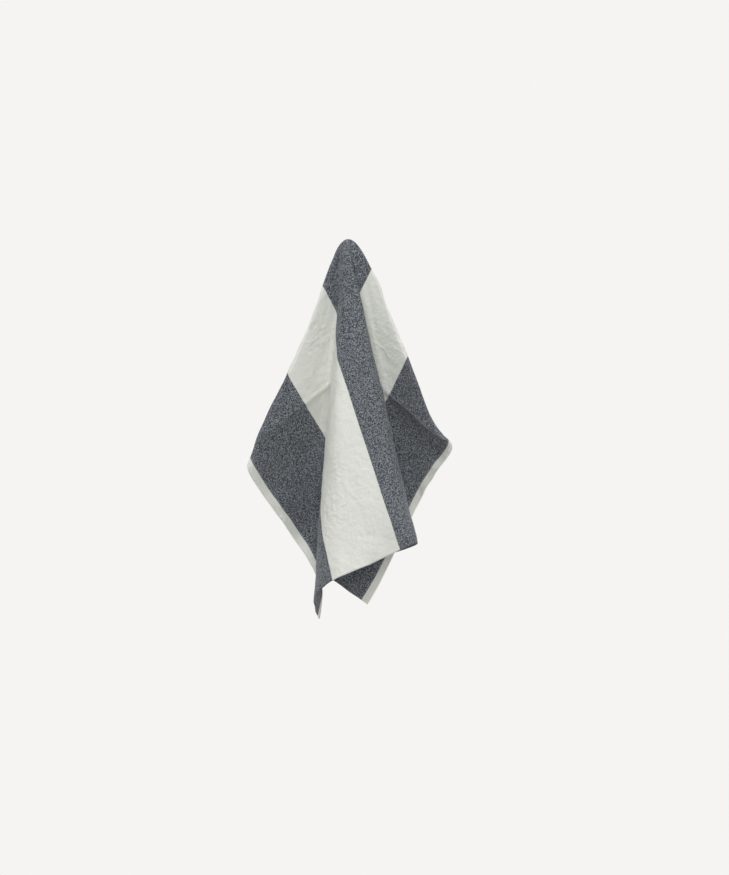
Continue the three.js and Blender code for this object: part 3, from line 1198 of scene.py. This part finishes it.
def weave_group() -> bpy.types.NodeTree:
    """Group for a plain weave: its height, and how much the crossing yarn shows.

    The yarns wander a little. Where they cross, warp and weft lie on top in turn, and the
    one on top arcs over the other as |sin| of its run. The product of both yarns' |sin|
    rounds the crossing off.

    Returns:
        The group.
    """
    wander_scales = (90.0, 90.0)
    wander_size = 0.0012
    inputs = {"Across": 0.0, "Along": 0.0, "Yarn": 0.001}
    group = EffectGroup("plain_weave", inputs, ("Height", "Crossing"))
    nodes, given = group.nodes, group.given
    noise = nodes.math("SUBTRACT", nodes.noise(given, wander_scales), 0.5)
    wander = nodes.math("MULTIPLY", noise, wander_size)
    across = nodes.math("DIVIDE", nodes.math("ADD", given["Across"], wander), given["Yarn"])
    along = nodes.math("DIVIDE", nodes.math("SUBTRACT", given["Along"], wander), given["Yarn"])
    warp, weft = (
        nodes.math("ABSOLUTE", nodes.math("SINE", nodes.math("MULTIPLY", rows, math.pi)))
        for rows in (across, along)
    )
    warp_sign, weft_sign = (
        nodes.math("COSINE", nodes.math("MULTIPLY", nodes.math("FLOOR", rows), math.pi))
        for rows in (across, along)
    )
    over = nodes.math("MULTIPLY_ADD", nodes.math("MULTIPLY", warp_sign, weft_sign), 0.5, 0.5)
    warp_top = nodes.math("MULTIPLY", over, weft)
    weft_top = nodes.math("MULTIPLY", nodes.math("SUBTRACT", 1.0, over), warp)
    roundness = nodes.math("MULTIPLY_ADD", nodes.math("MULTIPLY", warp, weft), 0.5, 0.5)
    group.give("Height", nodes.math("MULTIPLY", nodes.math("MAXIMUM", warp_top, weft_top), roundness))
    group.give("Crossing", weft_top)
    return group.tree


def yarn_group() -> bpy.types.NodeTree:
    """Group for uneven yarn: light flecks and thick places that run along each yarn.

    Two noises are drawn out, one along the warp and one along the weft, and added. The
    flecks also get a random value for each crossing of two yarns.

    Returns:
        The group.
    """
    fleck_scales, fleck_layers, fleck_range = (1000.0, 480.0), (3.0, 8.0), (0.97, 1.62)
    slub_scales, slub_layers, slub_range = (900.0, 45.0), (13.0, 21.0), (0.9, 1.3)
    crossing_size = 0.00095
    crossing_share = 0.42
    fibre_roughness = 0.6
    group = EffectGroup("uneven_yarn", {"Across": 0.0, "Along": 0.0}, ("Fleck", "Slub"))
    nodes, given = group.nodes, group.given

    def both_ways(scales: Pair, layers: Pair) -> Socket:
        """Sum of a noise drawn out along the warp and one drawn out along the weft.

        Args:
            scales: its fineness across and along a yarn, per metre.
            layers: the layer of the noise that each reads.

        Returns:
            The sum, about 1.
        """
        warp = nodes.noise(given, scales, layers[0], roughness=fibre_roughness)
        weft = nodes.noise(given, scales[::-1], layers[1], roughness=fibre_roughness)
        return nodes.math("ADD", warp, weft)

    across, along = (
        nodes.math("FLOOR", nodes.math("DIVIDE", given[way], crossing_size))
        for way in ("Across", "Along")
    )
    crossing = nodes.node("ShaderNodeTexWhiteNoise", noise_dimensions="2D")
    nodes.feed(crossing.inputs["Vector"], nodes.vector(across, along))
    flecks = both_ways(fleck_scales, fleck_layers)
    flecks = nodes.math("MULTIPLY_ADD", crossing.outputs["Value"], crossing_share, flecks)
    group.give("Fleck", nodes.ramp(flecks, *fleck_range))
    group.give("Slub", nodes.ramp(both_ways(slub_scales, slub_layers), *slub_range))
    return group.tree


def crumple_group() -> bpy.types.NodeTree:
    """Group for the small crumples of washed cloth: thin bent ridges in loose patches.

    A ridge runs where a soft noise crosses its middle value, and a wider noise says where
    the ridges show and where the cloth lies smooth. A finer swell runs all over.

    Returns:
        The group.
    """
    ridge_scales, patch_scales, swell_scales = (62.0, 62.0), (17.0, 17.0), (150.0, 150.0)
    ridge_layer, patch_layer, swell_layer = 31.0, 47.0, 59.0
    ridge_width = 0.11
    ridge_height, swell_height = 0.55, 1.7
    patch_range = (0.40, 0.62)
    group = EffectGroup("washed_crumples", {"Across": 0.0, "Along": 0.0}, ("Height",))
    nodes, given = group.nodes, group.given
    off_ridge = nodes.distance(nodes.noise(given, ridge_scales, ridge_layer), 0.5)
    ridges = nodes.ramp(off_ridge, ridge_width, 0.0, to=(0, ridge_height))
    patches = nodes.ramp(nodes.noise(given, patch_scales, patch_layer, detail=1.0), *patch_range)
    swell = nodes.noise(given, swell_scales, swell_layer, detail=3.0)
    swell = nodes.math("MULTIPLY", swell, swell_height)
    group.give("Height", nodes.math("MULTIPLY_ADD", ridges, patches, swell))
    return group.tree


def hem_group() -> bpy.types.NodeTree:
    """Group for the hem: the line where it is stitched down, and its row of stitches.

    A stitch is a soft dash, by the distance along the edge and the distance from the seam.

    Returns:
        The group.
    """
    line_reach = 0.0012
    seam_inside = 0.0016
    stitch_ends = (0.42, 0.34)
    stitch_sides = (0.00055, 0.00025)
    inputs = {"Across": 0.0, "Along": 0.0, "Side": 0.45, "Hem Width": 0.011, "Stitch": 0.003}
    group = EffectGroup("stitched_hem", inputs, ("Fold Line", "Stitches"))
    nodes, given = group.nodes, group.given
    from_side, from_end = (
        nodes.math("MINIMUM", given[way], nodes.math("SUBTRACT", given["Side"], given[way]))
        for way in ("Across", "Along")
    )
    edge = nodes.math("MINIMUM", from_side, from_end)
    off_line = nodes.distance(edge, given["Hem Width"])
    group.give("Fold Line", nodes.ramp(off_line, line_reach, 0.0))
    off_seam = nodes.distance(edge, nodes.math("SUBTRACT", given["Hem Width"], seam_inside))
    on_side = nodes.math("LESS_THAN", from_side, from_end)
    along_side = nodes.math("MULTIPLY", on_side, given["Along"])
    along_end = nodes.math("MULTIPLY", nodes.math("SUBTRACT", 1.0, on_side), given["Across"])
    run = nodes.math("ADD", along_side, along_end)
    beat = nodes.math("FRACT", nodes.math("DIVIDE", run, given["Stitch"]))
    dash = nodes.ramp(nodes.distance(beat, 0.5), *stitch_ends)
    group.give("Stitches", nodes.math("MULTIPLY", dash, nodes.ramp(off_seam, *stitch_sides)))
    return group.tree


@dataclass
class ClothMaterial:
    """The woven cloth's material, drawn in the flat plan of the cloth.

    Lengths are in metres.

    Args:
        finish: yarn colours, stripes and the painted highlight along the pressed crease.
        relief: how high each fine form stands.
        side: side of the flat cloth.
        hem_width: width of its hems.
        crease: from the back hem to the pressed crease.
    """

    finish: WovenFinish
    relief: FineRelief
    side: float
    hem_width: float
    crease: float

    def colour(self, nodes: NodeWriter, plan: dict[str, Socket], effects: dict[str, Outputs]) -> Socket:
        """Colour of the cloth: flecked dark and cream stripes, a painted highlight along the pressed
        crease and the stitches.

        Args:
            nodes: the material's writer.
            plan: Across and Along of each place in the flat cloth.
            effects: outputs of the weave, yarn and hem groups.

        Returns:
            The colour.
        """
        look = self.finish
        middle = self.side / 2
        across = plan["Across"]
        stripes = nodes.place(stripe_group(), Across=across, Middle=middle, Stripe_Width=look.stripe)
        flecks = nodes.math("MULTIPLY", effects["yarn"]["Fleck"], look.yarn_fleck)
        crossing = effects["weave"]["Crossing"]
        flecks = nodes.math("MULTIPLY_ADD", crossing, look.crossing_fleck, flecks, clamp=True)
        dark = nodes.blend(flecks, (*look.dark, 1), (*look.fleck_and_highlight, 1))
        shade = nodes.ramp(effects["yarn"]["Slub"], 0.0, 1.0, to=look.cream_shade)
        cream = nodes.blend(1.0, (*look.cream, 1), nodes.vector(shade, shade, shade), mode="MULTIPLY")
        colour = nodes.blend(stripes["Dark"], cream, dark)

        # Painted highlight: a light line along the crest of the pressed crease, on the right side of the
        # cloth only.
        off_crease = nodes.distance(plan["Along"], self.crease)
        at_right = nodes.ramp(nodes.math("SUBTRACT", across, middle), *look.crest_highlight_start)
        crest_highlight = nodes.math("MULTIPLY", nodes.ramp(off_crease, look.crest_highlight_reach, 0.0), at_right)
        colour = nodes.blend(nodes.math("MULTIPLY", crest_highlight, look.crest_highlight_share), colour, (*look.fleck_and_highlight, 1))
        threads = nodes.math("MULTIPLY", effects["hem"]["Stitches"], look.stitch_share)
        return nodes.blend(threads, colour, (*look.cream, 1))

    def normal(self, nodes: NodeWriter, effects: dict[str, Outputs]) -> Socket:
        """Normal of the cloth, from a bump of the sum of its fine forms.

        Args:
            nodes: the material's writer.
            effects: outputs of the weave, yarn, hem and crumple groups.

        Returns:
            The normal.
        """
        heights = (
            (effects["yarn"]["Slub"], self.relief.slub),
            (effects["hem"]["Stitches"], self.relief.stitch),
            (effects["hem"]["Fold Line"], self.relief.fold_line),
            (effects["crumples"]["Height"], self.relief.crumple),
        )
        total = nodes.math("MULTIPLY", effects["weave"]["Height"], self.relief.weave)
        for form, height in heights:
            total = nodes.math("MULTIPLY_ADD", form, height, total)
        bump = nodes.node("ShaderNodeBump")
        bump.inputs["Strength"].default_value = self.relief.strength
        bump.inputs["Distance"].default_value = self.relief.distance
        nodes.feed(bump.inputs["Height"], total)
        return bump.outputs["Normal"]

    def build(self) -> bpy.types.Material:
        """Makes the material.

        Returns:
            The material, with its colour, bump and sheen.
        """
        material = bpy.data.materials.new(self.finish.name)
        material.use_nodes = True
        nodes = NodeWriter(material.node_tree)
        nodes.tree.nodes.clear()
        split = nodes.node("ShaderNodeSeparateXYZ")
        nodes.feed(split.inputs[0], nodes.node("ShaderNodeUVMap", uv_map=FLAT_PLAN).outputs["UV"])
        plan = {"Across": split.outputs["X"], "Along": split.outputs["Y"]}
        effects = {
            "weave": nodes.place(weave_group(), **plan, Yarn=self.finish.yarn),
            "yarn": nodes.place(yarn_group(), **plan),
            "hem": nodes.place(hem_group(), **plan, Side=self.side, Hem_Width=self.hem_width),
            "crumples": nodes.place(crumple_group(), **plan),
        }

        shader = nodes.node("ShaderNodeBsdfPrincipled")
        nodes.feed(shader.inputs["Base Color"], self.colour(nodes, plan, effects))
        nodes.feed(shader.inputs["Normal"], self.normal(nodes, effects))
        shader.inputs["Roughness"].default_value = self.finish.roughness
        shader.inputs["Specular IOR Level"].default_value = self.finish.specular
        shader.inputs["Sheen Weight"].default_value = self.finish.sheen
        shader.inputs["Sheen Roughness"].default_value = self.finish.sheen_roughness
        output = nodes.node("ShaderNodeOutputMaterial")
        nodes.feed(output.inputs["Surface"], shader.outputs["BSDF"])
        return material


@dataclass(frozen=True)
class Lamp:
    """One square soft light.

    Args:
        name: what it is for.
        place: where it stands, metres.
        size: its side, metres.
        power: its power, watts.
    """

    name: str
    place: tuple[float, float, float]
    size: float
    power: float

    def build(self, aim: tuple[float, float, float]) -> None:
        """Adds the light to the scene.

        Args:
            aim: the place that it faces, metres.
        """
        light = bpy.data.lights.new(self.name, "AREA")
        light.size = self.size
        light.energy = self.power
        holder = add_to_scene(self.name, light)
        holder.location = self.place
        towards = Vector(aim) - Vector(self.place)
        holder.rotation_euler = towards.to_track_quat("-Z", "Y").to_euler()


LAMPS = (
    Lamp("key_light", (-0.9, -1.6, 2.4), 0.7, 53.0),
    Lamp("front_light", (0.2, -2.8, 0.2), 1.0, 42.0),
    Lamp("right_light", (2.5, -0.7, 0.7), 1.0, 10.0),
    Lamp("back_right_light", (1.7, 2.1, 0.7), 1.2, 27.0),
    Lamp("back_left_light", (-1.7, 2.1, 0.7), 1.2, 27.0),
)


@dataclass
class Studio:
    """Plain pale room: a floor below the cloth, an even sky, soft lights and the camera.

    Lengths are in metres.

    Args:
        floor_level: height of the floor, with the hanging point at 0.
        floor_radius: its radius.
        floor_sides: number of sides of its round edge.
        floor_colour: its colour.
        floor_roughness: its roughness.
        backdrop: colour of the surroundings.
        sky_above: strength of their light from above.
        sky_below: strength of their light from below.
        sky_step: heights in the sky, from -1 to 1, between which the strength changes.
        lamp_aim: the place that the lamps face, in the middle of the cloth.
        frame_pixels: width and height of the photograph's frame, pixels.
        hang_pixel: where the hanging point shows in it, pixels from its top left.
        metres_per_pixel: size of one of its pixels at the cloth.
        lens: the camera's focal length, millimetres.
        sensor: the camera's sensor width, millimetres.
    """

    floor_level: float = -0.80
    floor_radius: float = 0.5
    floor_sides: int = 64
    floor_colour: Colour = (0.86, 0.855, 0.85)
    floor_roughness: float = 0.95
    backdrop: Colour = (0.913, 0.905, 0.892)
    sky_above: float = 0.45
    sky_below: float = 0.16
    sky_step: Pair = (-0.7, 0.8)
    lamp_aim: tuple[float, float, float] = (0.0, 0.0, -0.2)
    frame_pixels: tuple[int, int] = (729, 875)
    hang_pixel: Pair = (348.0, 239.0)
    metres_per_pixel: float = 0.00107
    lens: float = 85.0
    sensor: float = 36.0

    def floor(self) -> None:
        """Builds a plain round floor."""
        around = np.linspace(0, FULL_CIRCLE, self.floor_sides, endpoint=False)
        right = self.floor_radius * np.cos(around)
        back = self.floor_radius * np.sin(around)
        ring = np.stack([right, back, np.full_like(around, self.floor_level)], axis=-1)
        mesh = bpy.data.meshes.new("floor")
        mesh.from_pydata(ring.tolist(), [], [list(range(self.floor_sides))])
        material = bpy.data.materials.new("pale_floor")
        material.use_nodes = True
        shader = material.node_tree.nodes["Principled BSDF"]
        shader.inputs["Base Color"].default_value = (*self.floor_colour, 1)
        shader.inputs["Roughness"].default_value = self.floor_roughness
        mesh.materials.append(material)
        add_to_scene("floor", mesh)

    def sky(self) -> None:
        """Even pale surroundings behind the cloth, which light it more from above."""
        world = bpy.data.worlds.new("pale_room")
        world.use_nodes = True
        bpy.context.scene.world = world
        nodes = NodeWriter(world.node_tree)
        nodes.tree.nodes.clear()
        seen = nodes.node("ShaderNodeBackground")
        lit = nodes.node("ShaderNodeBackground")
        for background in (seen, lit):
            background.inputs["Color"].default_value = (*self.backdrop, 1)
            background.inputs["Strength"].default_value = 1.0
        split = nodes.node("ShaderNodeSeparateXYZ")
        nodes.feed(split.inputs[0], nodes.node("ShaderNodeTexCoord").outputs["Generated"])
        strength = nodes.ramp(split.outputs["Z"], *self.sky_step, to=(self.sky_below, self.sky_above))
        nodes.feed(lit.inputs["Strength"], strength)
        path = nodes.node("ShaderNodeLightPath")
        mix = nodes.node("ShaderNodeMixShader")
        chosen = (path.outputs["Is Camera Ray"], lit.outputs[0], seen.outputs[0])
        for socket, value in zip(mix.inputs, chosen):
            nodes.feed(socket, value)
        output = nodes.node("ShaderNodeOutputWorld")
        nodes.feed(output.inputs["Surface"], mix.outputs[0])

    def camera(self) -> None:
        """Places the camera level with the middle of the photograph's frame, facing the front.

        It stands off by the frame's height at the cloth times lens / sensor, so that the
        cloth shows at the size that it has in the photograph.
        """
        wide, high = self.frame_pixels
        right = (wide / 2 - self.hang_pixel[0]) * self.metres_per_pixel
        down = (high / 2 - self.hang_pixel[1]) * self.metres_per_pixel
        distance = high * self.metres_per_pixel * self.lens / self.sensor
        data = bpy.data.cameras.new("camera")
        data.lens = self.lens
        data.sensor_width = self.sensor
        data.sensor_fit = "AUTO"
        camera = add_to_scene("camera", data)
        camera.location = (right, -distance, -down)
        camera.rotation_euler = (math.pi / 2, 0, 0)
        bpy.context.scene.camera = camera

    def build(self) -> None:
        """Builds the floor, the surroundings, the lights and the camera."""
        self.floor()
        self.sky()
        for lamp in LAMPS:
            lamp.build(self.lamp_aim)
        self.camera()
        bpy.context.scene.view_settings.view_transform = "Standard"


def main() -> None:
    """Builds the cloth and the studio in order."""
    logging.basicConfig(level=logging.INFO, format="%(message)s")
    napkin = Napkin()
    cloth = napkin.build()
    napkin.dress(cloth)
    LOG.info("cloth: %d faces", len(cloth.data.polygons))
    studio = Studio()
    studio.build()
    LOG.info("studio: %d lights", len(LAMPS))
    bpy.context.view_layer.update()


if __name__ == "__main__":
    main()
